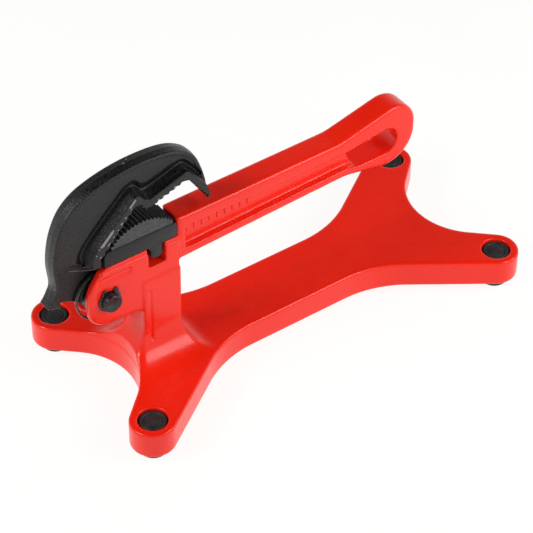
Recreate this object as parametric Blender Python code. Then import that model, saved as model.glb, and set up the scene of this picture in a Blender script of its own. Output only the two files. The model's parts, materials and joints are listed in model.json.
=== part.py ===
"""One-hand pipe wrench with a spring-closed hook jaw, cast in one piece with a four-footed stand.

All design coordinates are millimetres: x runs from the jaw end to the eye of the handle, y to the
far side, z up. place() turns them into the model's metres, whose origin is the middle of the
footprint at floor level.
"""

import math

import bmesh
import bpy
from mathutils import Matrix, Vector

MM = 0.001

# Clearance kept between neighbouring pieces, and the running clearance of the pivot.
GAP = 0.3
RUNNING = 0.08

# Stand: the floor's height, the plate, its arms and the holes for the feet.
FLOOR = -10.5
FOOT_X = 214.0
FOOT_Y = 90.0
PLATE_TOP = 30.0
PLATE_BOTTOM = -0.5
PLATE_EDGE = 2.5
ARM_R = 23.5
WAIST_HALF = 37.0
WAIST_FLAT = 58.0
WAIST_R = 118.0
END_X = 184.5
END_R = 71.0
FOOT_HOLE_R = 15.0

# Column that carries the wrench, and the fillets at its root, which end at the plate's edge.
COLUMN_LEFT = -174.0
COLUMN_RIGHT = -129.8
COLUMN_HALF = 16.8
COLUMN_TOP = 129.5
ROOT_LEFT = 43.0
ROOT_RIGHT = 24.0
ROOT_SIDE = 36.0
ROOT_TRIM = 0.6

# Head: two cheeks with a gap for the hook jaw.
HEAD_HALF = 16.0
HEAD_LEFT = -233.8
HEAD_RIGHT = -130.0
HEAD_BOTTOM_LEFT = 98.5
HEAD_BOTTOM_RIGHT = 95.5
HEAD_EDGE = 1.8
HEAD_TOP = 166.0
HEAD_STEP = 161.0
CHEEK_GAP_HALF = 7.5
CHEEK_GAP_BOTTOM = 62.0
CHEEK_GAP_END = -177.0
SLOT_LEFT = -166.0
SLOT_RIGHT = -146.0
SLOT_BOTTOM = 144.0

# Handle: an I section that ends in an eye.
HANDLE_HALF = 14.4
HANDLE_WEB_HALF = 6.4
HANDLE_EDGE = 4.0
HANDLE_LEFT = -131.3
EYE_R = 35.0
EYE_TOP_R = 28.0
EYE_RIGHT = 157.0

# Pivot.
PIVOT_X = -211.5
PIVOT_Z = 127.8
PIN_R = 9.8
PIN_HALF = 24.2
GROOVE_R = 9.0
GROOVE_IN = 16.1
GROOVE_OUT = 18.2
CLIP_INNER_R = 9.3
CLIP_OUTER_R = 12.3
CLIP_THICK = 1.5
CLIP_LUG_AT = 13.0
CLIP_TURN = 84.0

# Hook jaw.
WEB_HALF = 8.8
FLANGE_HALF = 15.0
SHELF_RISE = 5.7
CREASE_HALF = 2.6
SCOOP_FULL_REACH = 13.0
HUB_R = 21.5
HUB_HALF = 7.2
SPRING_FLOOR = -0.7
LEG_FLOOR = -1.5

# Heel jaw.
HEEL_HALF = 13.5
HEEL_TIP_CENTRE = (-169.6, 156.2)
HEEL_TIP_R = 47.6
HEEL_TEETH = 19
TONGUE_LEFT = -161.5
TONGUE_RIGHT = -148.5
TONGUE_BOTTOM = 151.5
HEEL_PIN_R = 2.5
HEEL_PIN_Z = 158.0

# Torsion spring.
WIRE_R = 0.9
COIL_R = 29.4
COIL_PITCH = 1.95
COIL_TURNS = 2.17
COIL_NEAR_Y = -6.25
LEG_TIP = (-249.6, 176.8)
LEG_END = (-182.2, 116.0)

# Rubber feet.
FOOT_PLUG_R = 13.6
FOOT_R = FOOT_HOLE_R - GAP
FOOT_TOP = 28.2

# The footprint's middle in x, taken from the hook jaw's back to the plate's right end.
HOOK_BACK = -273.5
CENTRE_X = (HOOK_BACK + FOOT_X + ARM_R) / 2.0


def place(x, y, z):
    return Vector(((x - CENTRE_X) * MM, y * MM, (z - FLOOR) * MM))


def clear_scene():
    for obj in list(bpy.data.objects):
        bpy.data.objects.remove(obj, do_unlink=True)


def material(name, colour, roughness, metallic):
    mat = bpy.data.materials.new(name)
    mat.use_nodes = True
    shader = mat.node_tree.nodes["Principled BSDF"]
    shader.inputs["Base Color"].default_value = (*colour, 1.0)
    shader.inputs["Roughness"].default_value = roughness
    shader.inputs["Metallic"].default_value = metallic
    return mat


# ---------------------------------------------------------------- outlines


def arc(cx, cy, r, start, end, steps):
    """Points on a circle from start to end, in degrees, both ends included."""
    angles = [math.radians(start + (end - start) * i / steps) for i in range(steps + 1)]
    return [(cx + r * math.cos(a), cy + r * math.sin(a)) for a in angles]


def rounded(corners, step=14.0):
    """A closed outline from corners (x, y, radius), with each corner as an arc."""
    outline = []
    count = len(corners)
    for i, (x, y, r) in enumerate(corners):
        here = Vector((x, y))
        before = Vector(corners[i - 1][:2]) - here
        after = Vector(corners[(i + 1) % count][:2]) - here
        if r <= 0:
            outline.append((x, y))
            continue
        half = before.angle(after) / 2.0
        middle = here + (before.normalized() + after.normalized()).normalized() * r / math.sin(half)
        first = here + before.normalized() * r / math.tan(half)
        last = here + after.normalized() * r / math.tan(half)
        a0 = math.atan2(first.y - middle.y, first.x - middle.x)
        a1 = math.atan2(last.y - middle.y, last.x - middle.x)
        turn = (a1 - a0 + math.pi) % (2 * math.pi) - math.pi
        steps = max(1, round(abs(math.degrees(turn)) / step))
        outline += arc(middle.x, middle.y, r, math.degrees(a0), math.degrees(a0 + turn), steps)
    return outline


def smooth(points, cuts):
    """A Catmull-Rom curve through the points, with cuts segments between neighbours."""
    ends = [2 * Vector(points[0]) - Vector(points[1]), 2 * Vector(points[-1]) - Vector(points[-2])]
    line = [ends[0]] + [Vector(p) for p in points] + [ends[1]]
    curve = []
    for i in range(1, len(line) - 2):
        a, b, c, d = line[i - 1 : i + 3]
        for k in range(cuts):
            t = k / cuts
            curve.append(
                0.5
                * (
                    2 * b
                    + (c - a) * t
                    + (2 * a - 5 * b + 4 * c - d) * t * t
                    + (3 * b - a - 3 * c + d) * t**3
                )
            )
    curve.append(line[-2])
    return [tuple(p) for p in curve]


def cross_tangent(c1, r1, c2, r2, side):
    """Angles, in degrees, at which the inner tangent of two circles touches the first and second.

    side is +1 or -1 and picks one of the two inner tangents.
    """
    d = Vector(c2) - Vector(c1)
    base = math.atan2(d.y, d.x)
    swing = math.acos((r1 + r2) / d.length)
    angle = math.degrees(base + side * swing)
    return angle, angle + 180.0


def teeth(start, end, count, depth, lean):
    """Saw teeth from start to end; valleys lie depth to the left of the direction of travel."""
    a = Vector(start)
    along = Vector(end) - a
    left = Vector((-along.y, along.x)).normalized() * depth
    points = [start]
    for i in range(count):
        points.append(tuple(a + along * (i + lean) / count + left))
        points.append(tuple(a + along * (i + 1) / count))
    return points


# ---------------------------------------------------------------- solids


def new_object(name, mesh_builder, mat=None):
    bm = bmesh.new()
    mesh_builder(bm)
    bmesh.ops.remove_doubles(bm, verts=bm.verts, dist=1e-6)
    bmesh.ops.recalc_face_normals(bm, faces=bm.faces)
    mesh = bpy.data.meshes.new(name)
    bm.to_mesh(mesh)
    bm.free()
    obj = bpy.data.objects.new(name, mesh)
    bpy.context.scene.collection.objects.link(obj)
    if mat:
        mesh.materials.append(mat)
    return obj


def prism(name, outline, low, high, plane="xz", edge=0.0, segments=1, mat=None):
    """An outline drawn in the xz or xy plane, extruded from low to high, its rims bevelled."""

    def point(u, v, w):
        return place(u, w, v) if plane == "xz" else place(u, v, w)

    def build(bm):
        face = bm.faces.new([bm.verts.new(point(u, v, low)) for u, v in outline])
        made = bmesh.ops.extrude_face_region(bm, geom=[face])["geom"]
        shift = point(0, 0, high) - point(0, 0, low)
        top = [v for v in made if isinstance(v, bmesh.types.BMVert)]
        bmesh.ops.translate(bm, verts=top, vec=shift)
        bmesh.ops.recalc_face_normals(bm, faces=bm.faces)
        caps = [face] + [f for f in made if isinstance(f, bmesh.types.BMFace)]
        if edge:
            bmesh.ops.bevel(
                bm,
                geom=[e for cap in caps for e in cap.edges],
                offset=edge * MM,
                segments=segments,
                profile=0.5,
                affect="EDGES",
                clamp_overlap=False,
            )

    return new_object(name, build, mat)


def loft(name, loops, mat=None):
    """A closed body through loops of equally many points, capped at both ends."""

    def build(bm):
        rings = [[bm.verts.new(place(*p)) for p in loop] for loop in loops]
        size = len(rings[0])
        for a, b in zip(rings, rings[1:]):
            for i in range(size):
                j = (i + 1) % size
                bm.faces.new((a[i], a[j], b[j], b[i]))
        bm.faces.new(rings[0])
        bm.faces.new(rings[-1])

    return new_object(name, build, mat)


def turned(name, profile, centre, axis, steps, mat=None):
    """A closed profile of (radius, height) spun about an axis through centre."""
    spin_axis = {"y": Vector((0, 1, 0)), "z": Vector((0, 0, 1)), "x": Vector((1, 0, 0))}[axis]
    out = {"y": Vector((1, 0, 0)), "z": Vector((1, 0, 0)), "x": Vector((0, 0, 1))}[axis]
    middle = place(*centre)

    def build(bm):
        verts = [bm.verts.new(middle + out * (r * MM) + spin_axis * (h * MM)) for r, h in profile]
        edges = [bm.edges.new((a, b)) for a, b in zip(verts, verts[1:])]
        bmesh.ops.spin(
            bm,
            geom=verts + edges,
            cent=middle,
            axis=spin_axis,
            angle=2 * math.pi,
            steps=steps,
            use_merge=True,
            use_duplicate=False,
        )

    obj = new_object(name, build, mat)
    obj.data.shade_smooth()
    obj.data.set_sharp_from_angle(angle=math.radians(35))
    return obj


def combine(target, tools, operation):
    """Adds a Boolean modifier for each tool, and hides the tool as a guide."""
    for tool in tools:
        mod = target.modifiers.new(tool.name, "BOOLEAN")
        mod.operation = operation
        mod.solver = "EXACT"
        mod.object = tool
        tool.hide_render = True
        tool.display_type = "WIRE"
    return target


def box(name, x0, x1, y0, y1, z0, z1):
    return prism(name, [(x0, z0), (x1, z0), (x1, z1), (x0, z1)], y0, y1)


# ---------------------------------------------------------------- stand, column, head and handle


def plate_outline(inset=0.0):
    """One quarter of the X-shaped plate, drawn inset from its edge, mirrored into four."""
    waist = (WAIST_FLAT, WAIST_HALF + WAIST_R)
    foot = (FOOT_X, FOOT_Y)
    end = (END_X + END_R, 0.0)
    waist_r = WAIST_R + inset
    arm_r = ARM_R - inset
    end_r = END_R + inset
    waist_angle, arm_start = cross_tangent(waist, waist_r, foot, arm_r, -1)
    end_angle, arm_end = cross_tangent(end, end_r, foot, arm_r, 1)
    quarter = arc(*waist, waist_r, -90.0, waist_angle, 7)
    arm_end -= 360.0 * round((arm_end - arm_start + 180.0) / 360.0)
    quarter += arc(*foot, arm_r, arm_start, arm_end, 13)
    quarter += arc(*end, end_r, end_angle, 180.0, 7)
    lower = [(x, -y) for x, y in reversed(quarter[:-1])]
    right = quarter + lower
    left = [(-x, y) for x, y in reversed(right)]
    return right + left


def fillet_reach(radius, rise):
    """How far a fillet of this radius stands out from its wall at a height above the plate."""
    short = max(0.0, radius - rise)
    return radius - math.sqrt(radius * radius - short * short)


def column_body():
    """The column and the flare at its foot, cut off where the flare meets the plate's edge."""

    def ring(rise, inset, z):
        out_left = fillet_reach(ROOT_LEFT, rise)
        out_right = fillet_reach(ROOT_RIGHT, rise)
        out_side = fillet_reach(ROOT_SIDE, rise)
        left = COLUMN_LEFT - out_left + inset
        right = COLUMN_RIGHT + out_right - inset
        half = COLUMN_HALF + out_side - inset
        left_r = 2.0 + 0.3 * (out_left + out_side)
        right_r = 2.0 + 0.12 * (out_right + out_side)
        corners = [
            (left, -half, left_r),
            (right, -half, right_r),
            (right, half, right_r),
            (left, half, left_r),
        ]
        return [(x, y, z) for x, y in rounded(corners, step=12.9)]

    loops = [ring(ROOT_LEFT, 0.8, COLUMN_TOP), ring(ROOT_LEFT, 0.0, COLUMN_TOP - 0.8)]
    steps = 9
    for i in range(steps + 1):
        rise = ROOT_LEFT * (1.0 - math.sin(math.radians(87.0 * i / steps)))
        loops.append(ring(rise, 0.0, PLATE_TOP + rise))
    loops.append([(x, y, PLATE_TOP - 6.0) for x, y, _ in loops[-1]])
    body = loft("column_body", loops)
    limit = prism(
        "column_limit", plate_outline(ROOT_TRIM), PLATE_TOP - 10.0, COLUMN_TOP + 10.0, plane="xy"
    )
    return combine(body, [limit], "INTERSECT")


def head_outline():
    return rounded(
        [
            (HEAD_LEFT, HEAD_BOTTOM_LEFT, 20.0),
            (COLUMN_LEFT + 0.6, HEAD_BOTTOM_RIGHT, 11.0),
            (COLUMN_LEFT + 0.6, 60.0, 0.0),
            (HEAD_RIGHT, 60.0, 0.0),
            (HEAD_RIGHT, HEAD_TOP, 0.0),
            (-217.0, HEAD_TOP, 14.0),
            (HEAD_LEFT, 142.0, 40.0),
        ]
    )


def pocket_outline(grow):
    """The I section's side pocket, which runs on into the eye."""
    return rounded(
        [
            (-122.0 - grow, 146.0 - grow, 4.0),
            (72.0, 153.3 - grow, 12.0),
            (84.0, 149.7 - grow, 12.0),
            (134.5 + grow, 149.7 - grow, 15.5 + grow),
            (134.5 + grow, 183.3 + grow, 15.5 + grow),
            (72.0, 173.8 + grow, 30.0),
            (-122.0 - grow, 173.8 + grow, 4.0),
        ]
    )


def clip_right(outline, a, b):
    """The part of an outline left of the slanting line from a (top) to b (bottom)."""

    def side(p):
        return (b[0] - a[0]) * (p[1] - a[1]) - (b[1] - a[1]) * (p[0] - a[0])

    kept = []
    for p, q in zip(outline, outline[1:] + outline[:1]):
        if side(p) <= 0:
            kept.append(p)
        if (side(p) <= 0) != (side(q) <= 0):
            t = side(p) / (side(p) - side(q))
            kept.append((p[0] + (q[0] - p[0]) * t, p[1] + (q[1] - p[1]) * t))
    return kept


def handle_outline():
    return rounded(
        [
            (HEAD_RIGHT - 8.0, 134.9, 0.0),
            (72.0, 143.2, 70.0),
            (EYE_RIGHT, 125.4, EYE_R),
            (EYE_RIGHT, 212.5, EYE_TOP_R),
            (62.0, 188.8, 60.0),
            (HANDLE_LEFT, 187.4, 0.0),
            (HANDLE_LEFT, 164.0, 0.0),
            (HEAD_RIGHT - 8.0, 164.0, 0.0),
        ],
        step=9.0,
    )


def frame_casting(mat):
    casting = prism(
        "frame_casting",
        plate_outline(),
        PLATE_BOTTOM,
        PLATE_TOP,
        plane="xy",
        edge=PLATE_EDGE,
        segments=2,
        mat=mat,
    )
    head = prism("head", head_outline(), -HEAD_HALF, HEAD_HALF, edge=HEAD_EDGE)
    handle = prism(
        "handle", handle_outline(), -HANDLE_HALF, HANDLE_HALF, edge=HANDLE_EDGE, segments=3
    )
    pocket = prism("pocket", pocket_outline(0.0), -20.0, 20.0)
    web = clip_right(pocket_outline(3.0), (70.3, 180.0), (83.6, 146.0))
    handle_web = prism("handle_web", web, -HANDLE_WEB_HALF, HANDLE_WEB_HALF)
    combine(handle, [pocket], "DIFFERENCE")
    ribs = [
        box(f"rib_{i}", x, x + 1.8, -HANDLE_WEB_HALF - 0.8, -HANDLE_WEB_HALF + 1.0, 160.0, 169.0)
        for i, x in enumerate(-117.0 + 9.0 * k for k in range(9))
    ]
    combine(casting, [column_body(), head, handle, handle_web], "UNION")
    combine(casting, ribs, "UNION")

    gap = box(
        "cheek_gap",
        -250.0,
        CHEEK_GAP_END,
        -CHEEK_GAP_HALF,
        CHEEK_GAP_HALF,
        CHEEK_GAP_BOTTOM,
        HEAD_TOP + 10.0,
    )
    slot = prism(
        "tongue_slot",
        rounded(
            [
                (SLOT_LEFT, SLOT_BOTTOM, 1.5),
                (SLOT_RIGHT, SLOT_BOTTOM, 1.5),
                (SLOT_RIGHT, HEAD_TOP + 9.0, 0.0),
                (SLOT_LEFT, HEAD_TOP + 9.0, 0.0),
            ],
            step=30.0,
        ),
        -30.0,
        30.0,
    )
    bore_r = PIN_R + RUNNING
    bore = turned(
        "pivot_bore",
        [(0, -30), (bore_r, -30), (bore_r, 30), (0, 30)],
        (PIVOT_X, 0, PIVOT_Z),
        "y",
        40,
    )
    heel_bore_r = HEEL_PIN_R + GAP
    heel_bore = turned(
        "heel_pin_bore",
        [(0, -8), (heel_bore_r, -8), (heel_bore_r, 41.6), (0, 41.6)],
        (CHEEK_GAP_END, 0, HEEL_PIN_Z),
        "x",
        16,
    )
    recesses = [
        prism(
            f"cheek_recess_{side}",
            [(-225.0, 149.0), (-185.0, 149.0), (-185.0, 157.0), (-222.0, 157.0)],
            sign * (HEAD_HALF - 1.1),
            sign * (HEAD_HALF + 5.0),
        )
        for side, sign in (("near", -1.0), ("far", 1.0))
    ]
    ledges = [
        prism(
            f"head_ledge_{side}",
            [(-250.0, HEAD_STEP), (HEAD_RIGHT + 0.5, HEAD_STEP), (HEAD_RIGHT + 0.5, 175.0)]
            + [(-250.0, 175.0)],
            sign * (HEAD_HALF - 1.0),
            sign * (HEAD_HALF + 5.0),
        )
        for side, sign in (("near", -1.0), ("far", 1.0))
    ]
    groove = [(-167.2, 116.0), (-163.2, 116.0), (-164.0, 48.5), (-167.0, 54.0)]
    grooves = [
        prism(f"column_groove_{side}", groove, sign * (COLUMN_HALF - 1.0), sign * 30.0)
        for side, sign in (("near", -1.0), ("far", 1.0))
    ]
    holes = [
        turned(
            f"foot_hole_{i}",
            [
                (0, PLATE_BOTTOM - 5.0),
                (FOOT_HOLE_R + 1.5, PLATE_BOTTOM - 5.0),
                (FOOT_HOLE_R + 1.5, PLATE_BOTTOM),
                (FOOT_HOLE_R, PLATE_BOTTOM + 1.5),
                (FOOT_HOLE_R, PLATE_TOP - 1.8),
                (FOOT_HOLE_R + 0.5, PLATE_TOP - 0.6),
                (FOOT_HOLE_R + 1.8, PLATE_TOP),
                (FOOT_HOLE_R + 1.8, PLATE_TOP + 5.0),
                (0, PLATE_TOP + 5.0),
            ],
            (x, y, 0.0),
            "z",
            32,
        )
        for i, (x, y) in enumerate(foot_places())
    ]
    combine(casting, [gap, slot, bore, heel_bore] + ledges + recesses + grooves + holes, "DIFFERENCE")
    return casting


def foot_places():
    return [(sx * FOOT_X, sy * FOOT_Y) for sx in (-1, 1) for sy in (-1, 1)]


# ---------------------------------------------------------------- hook jaw

HOOK_OUTER = [
    (-273.6, 140.6),
    (-267.2, 150.4),
    (-263.9, 160.0),
    (-265.7, 183.0),
    (-264.0, 203.0),
    (-258.8, 223.0),
    (-248.8, 242.0),
    (-233.0, 255.6),
    (-211.0, 264.2),
    (-184.0, 269.4),
    (-156.0, 270.3),
    (-133.0, 267.4),
    (-116.5, 260.0),
    (-105.3, 249.5),
    (-98.3, 233.0),
    (-93.9, 217.0),
    (-92.4, 206.0),
]

# Pairs of points along the tooth flange: its outer edge, and the far rim of the scoop beside it.
COVE_STATIONS = [
    ((-225.6, 173.5), (-241.0, 175.0)),
    ((-226.0, 184.0), (-241.5, 188.0)),
    ((-218.6, 196.0), (-233.0, 203.0)),
    ((-206.0, 208.8), (-219.0, 219.0)),
    ((-192.0, 222.6), (-201.5, 236.5)),
    ((-183.0, 231.6), (-188.8, 248.5)),
    ((-177.3, 236.4), (-178.5, 254.6)),
    ((-172.4, 236.0), (-171.8, 253.0)),
    ((-167.8, 230.8), (-166.5, 247.0)),
    ((-162.8, 227.2), (-160.6, 245.8)),
    ((-150.0, 229.4), (-147.6, 249.4)),
    ((-135.0, 234.3), (-133.6, 253.6)),
    ((-122.5, 238.6), (-121.5, 254.6)),
    ((-117.6, 238.0), (-114.5, 249.6)),
    ((-110.2, 230.6), (-106.0, 238.8)),
    ((-102.2, 221.0), (-98.6, 226.6)),
]


def flange_outline():
    """The toothed flange: plain upper edge, two toothed recesses with a cusp between them."""
    upper = rounded(
        [
            (-92.8, 203.0, 5.0),
            (-97.6, 216.0, 25.0),
            (-119.3, 241.6, 4.0),
            (-164.6, 226.2, 5.0),
            (-175.8, 239.0, 4.5),
            (-219.0, 196.6, 35.0),
            (-226.6, 184.0, 14.0),
            (-226.4, 172.4, 2.0),
            (-217.4, 170.6, 2.0),
            (-217.2, 178.0, 0.0),
            (-175.0, 227.4, 0.0),
            (-166.6, 216.4, 0.0),
            (-153.6, 218.8, 0.0),
            (-119.8, 230.6, 0.0),
            (-96.2, 197.2, 0.0),
            (-94.2, 196.6, 1.0),
        ],
        step=15.0,
    )
    plain = upper[: upper.index((-217.2, 178.0))]
    mouth = teeth((-217.2, 178.0), (-176.0, 226.6), 8, 2.6, 0.35)
    mouth += teeth((-173.4, 226.4), (-166.6, 216.4), 2, 2.0, 0.6)
    mouth += teeth((-166.6, 216.4), (-153.6, 218.8), 2, 1.4, 0.6)[1:]
    mouth += teeth((-153.6, 218.8), (-120.8, 230.4), 5, 2.0, 0.4)[1:]
    mouth += teeth((-118.0, 229.8), (-96.4, 199.0), 7, 1.9, 0.6)
    tip = upper[upper.index((-96.2, 197.2)) :]
    return plain + mouth + tip


def scoop_body(name, profile_of):
    """A loft along the flange of a profile of (outward offset, y) worked out at each station."""
    loops = []
    for ex, ez, tx, tz in smooth([Vector((*edge, *top)) for edge, top in COVE_STATIONS], 2):
        reach = math.hypot(tx - ex, tz - ez)
        share = min(1.0, reach / SCOOP_FULL_REACH)
        half = WEB_HALF + (CREASE_HALF - WEB_HALF) * share
        profile = profile_of(reach, SHELF_RISE * share, half)
        dx = (tx - ex) / reach
        dz = (tz - ez) / reach
        loops.append([(ex + dx * out, y, ez + dz * out) for out, y in profile])
    return loft(name, loops)


def flange_root():
    """The flange's drafted outer face, from its near and far edges down to the creases."""

    def profile(reach, crease, half):
        lip = FLANGE_HALF - 0.9
        side = [(-3.5, lip), (0.0, lip), (crease, half)]
        return side + [(out, -y) for out, y in reversed(side)]

    return scoop_body("flange_root", profile)


def scoop_cutter(name, side):
    """The hollow beside the flange: from its crease the floor rises in an S to the web's face."""

    def profile(reach, crease, half):
        points = [(-2.0, side * half)]
        steps = 4
        for k in range(steps + 1):
            t = k / steps
            rise = (3.0 - 2.0 * t) * t * t
            out = crease + (reach - crease) * t
            points.append((out, side * (half + (WEB_HALF + 0.15 - half) * rise)))
        return points + [(reach, side * 20.0), (-2.0, side * 20.0)]

    return scoop_body(name, profile)


def hook_web_outline():
    inner = [
        (-96.5, 207.0),
        (-119.0, 236.0),
        (-163.0, 222.0),
        (-175.5, 233.0),
        (-222.0, 187.0),
        (-221.5, 173.0),
        (-215.0, 164.5),
        (-196.0, 142.0),
        (-211.5, 112.0),
        (-230.5, 121.0),
        (-244.5, 131.6),
        (-254.6, 136.2),
        (-267.4, 138.3),
    ]
    return smooth(HOOK_OUTER, 3) + inner


def hook_jaw(mat):
    web = prism(
        "hook_jaw", hook_web_outline(), -WEB_HALF, WEB_HALF, edge=1.2, segments=1, mat=mat
    )
    flange = prism("tooth_flange", flange_outline(), -FLANGE_HALF, FLANGE_HALF, edge=0.6)
    hub = turned(
        "hub",
        [(0, -HUB_HALF), (HUB_R - 0.8, -HUB_HALF), (HUB_R, 0.8 - HUB_HALF)]
        + [(HUB_R, HUB_HALF - 0.8), (HUB_R - 0.8, HUB_HALF), (0, HUB_HALF)],
        (PIVOT_X, 0, PIVOT_Z),
        "y",
        44,
    )
    recess = rounded(
        [
            (-259.3, 120.0, 0.0),
            (-259.6, 182.6, 7.0),
            (-243.5, 182.6, 12.0),
            (-224.6, HEAD_TOP + 0.6, 0.0),
            (-180.0, HEAD_TOP + 0.6, 0.0),
            (-180.0, 90.0, 0.0),
            (-240.0, 90.0, 0.0),
        ]
    )
    near = prism("leg_recess", recess, -20.0, LEG_FLOOR)
    far = prism("far_relief", recess, HUB_HALF, 20.0)
    coil_r = COIL_R + WIRE_R + 1.3
    coil_room = turned(
        "coil_recess",
        [(0, -20.0), (coil_r, -20.0), (coil_r, SPRING_FLOOR), (0, SPRING_FLOOR)],
        (PIVOT_X, 0, PIVOT_Z),
        "y",
        44,
    )
    bore_r = PIN_R + RUNNING
    bore = turned(
        "hook_bore",
        [(0, -30), (bore_r, -30), (bore_r, 30), (0, 30)],
        (PIVOT_X, 0, PIVOT_Z),
        "y",
        40,
    )
    scoops = [scoop_cutter("scoop_near", -1.0), scoop_cutter("scoop_far", 1.0)]
    combine(web, scoops, "DIFFERENCE")
    combine(web, [flange, flange_root()], "UNION")
    combine(web, [near, far, coil_room], "DIFFERENCE")
    combine(web, [hub], "UNION")
    combine(web, [bore], "DIFFERENCE")
    set_origin(web, place(PIVOT_X, 0, PIVOT_Z))
    return web


def set_origin(obj, point):
    """Moves the object's origin to a point and leaves its shape where it is."""
    obj.data.transform(Matrix.Translation(-point))
    obj.location = point


# ---------------------------------------------------------------- heel jaw and its pin


def heel_jaw(mat):
    """A block with a toothed hump on top and a tongue that hangs in the head's slot."""
    cx, cz = HEEL_TIP_CENTRE
    start = 145.8
    end = 41.8
    hump = []
    for i in range(HEEL_TEETH):
        tip = math.radians(start + (end - start) * (i + 0.35) / HEEL_TEETH)
        valley = math.radians(start + (end - start) * (i + 1.0) / HEEL_TEETH)
        hump.append((cx + HEEL_TIP_R * math.cos(tip), cz + HEEL_TIP_R * math.sin(tip)))
        low = HEEL_TIP_R - 2.7
        hump.append((cx + low * math.cos(valley), cz + low * math.sin(valley)))
    bottom = HEAD_TOP + GAP
    ridge = [(-206.4, 178.0), (-206.4, 181.5)] + hump[1:-1] + [(-135.2, 184.6), (-135.2, 178.0)]
    block = rounded(
        [
            (-213.0, bottom, 1.0),
            (TONGUE_LEFT - 3.0, bottom, 0.0),
            (TONGUE_LEFT, bottom - 4.5, 2.0),
            (TONGUE_LEFT, TONGUE_BOTTOM, 2.0),
            (TONGUE_RIGHT, TONGUE_BOTTOM, 2.0),
            (TONGUE_RIGHT, bottom, 0.0),
            (-131.6, bottom, 4.5),
            (-131.6, 184.2, 3.0),
            (-209.5, 184.2, 0.0),
            (-213.0, 180.0, 1.0),
        ],
        step=25.0,
    )
    jaw = prism("heel_jaw", block, -HEEL_HALF, HEEL_HALF, edge=0.6, mat=mat)
    crown = prism("crown", ridge, 0.7 - HEEL_HALF, HEEL_HALF - 0.7)
    bore_r = HEEL_PIN_R + GAP
    bore = turned(
        "tongue_bore",
        [(0, -20), (bore_r, -20), (bore_r, 20), (0, 20)],
        ((TONGUE_LEFT + TONGUE_RIGHT) / 2.0, 0, HEEL_PIN_Z),
        "x",
        16,
    )
    combine(jaw, [crown], "UNION")
    combine(jaw, [bore], "DIFFERENCE")
    return jaw


def heel_jaw_pin(mat):
    r = HEEL_PIN_R
    length = 40.6
    profile = [(0, 0), (r - 0.5, 0), (r, 0.6), (r, length - 0.6), (r - 0.5, length), (0, length)]
    return turned("heel_jaw_pin", profile, (CHEEK_GAP_END + 0.5, 0, HEEL_PIN_Z), "x", 16, mat)


# ---------------------------------------------------------------- pivot pin and circlips


def pivot_pin(mat):
    r = PIN_R
    half = [
        (r, 0.0),
        (r, GROOVE_IN),
        (GROOVE_R, GROOVE_IN),
        (GROOVE_R, GROOVE_OUT),
        (r, GROOVE_OUT),
        (r, PIN_HALF - 1.2),
        (r - 1.2, PIN_HALF),
        (3.0, PIN_HALF),
        (0.0, PIN_HALF - 1.4),
    ]
    profile = [(a, -b) for a, b in reversed(half)] + half[1:]
    return turned("pivot_pin", profile, (PIVOT_X, 0, PIVOT_Z), "y", 40, mat)


def circlip(name, side, mat):
    """An open ring in the pin's groove, with a drilled lug at each end, lugs up."""
    low = HEAD_HALF + GAP if side > 0 else -(HEAD_HALF + GAP + CLIP_THICK)
    high = low + CLIP_THICK
    open_half = 26.0
    first = CLIP_TURN + open_half
    last = CLIP_TURN + 360.0 - open_half
    outer = arc(PIVOT_X, PIVOT_Z, CLIP_OUTER_R, first, last, 36)
    inner = arc(PIVOT_X, PIVOT_Z, CLIP_INNER_R, last, first, 36)
    ring = prism(name, outer + inner, low, high, mat=mat)
    for sign in (-1, 1):
        angle = math.radians(CLIP_TURN + sign * (open_half + 3.0))
        x = PIVOT_X + CLIP_LUG_AT * math.cos(angle)
        z = PIVOT_Z + CLIP_LUG_AT * math.sin(angle)
        label = f"{name}_lug_{'left' if sign > 0 else 'right'}"
        lug = prism(label, arc(x, z, 2.7, 0, 337.5, 15), low, high)
        hole = prism(label + "_hole", arc(x, z, 1.1, 0, 324, 9), low - 1.0, high + 1.0)
        combine(ring, [lug], "UNION")
        combine(ring, [hole], "DIFFERENCE")
    return ring


# ---------------------------------------------------------------- torsion spring


def spring_path():
    """Leg in the jaw's recess, coil about the pivot, leg against the end of the cheek gap."""
    tip = Vector(LEG_TIP) - Vector((PIVOT_X, PIVOT_Z))
    start = math.atan2(tip.y, tip.x) - math.acos(COIL_R / tip.length)
    total = 2.0 * math.pi * COIL_TURNS
    steps = round(COIL_TURNS * 28)
    coil = []
    for i in range(steps + 1):
        a = start - total * i / steps
        y = COIL_NEAR_Y + COIL_PITCH * COIL_TURNS * i / steps
        coil.append((PIVOT_X + COIL_R * math.cos(a), y, PIVOT_Z + COIL_R * math.sin(a)))
    return [(LEG_TIP[0], COIL_NEAR_Y, LEG_TIP[1])] + coil + [(LEG_END[0], coil[-1][1], LEG_END[1])]


def torsion_spring(mat):
    curve = bpy.data.curves.new("torsion_spring", "CURVE")
    curve.dimensions = "3D"
    curve.bevel_depth = WIRE_R * MM
    curve.bevel_resolution = 1
    curve.use_fill_caps = True
    points = [place(*p) for p in spring_path()]
    spline = curve.splines.new("POLY")
    spline.points.add(len(points) - 1)
    for slot, point in zip(spline.points, points):
        slot.co = (*point, 1.0)
    curve.materials.append(mat)
    obj = bpy.data.objects.new("torsion_spring", curve)
    bpy.context.scene.collection.objects.link(obj)
    return obj


# ---------------------------------------------------------------- feet


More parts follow.
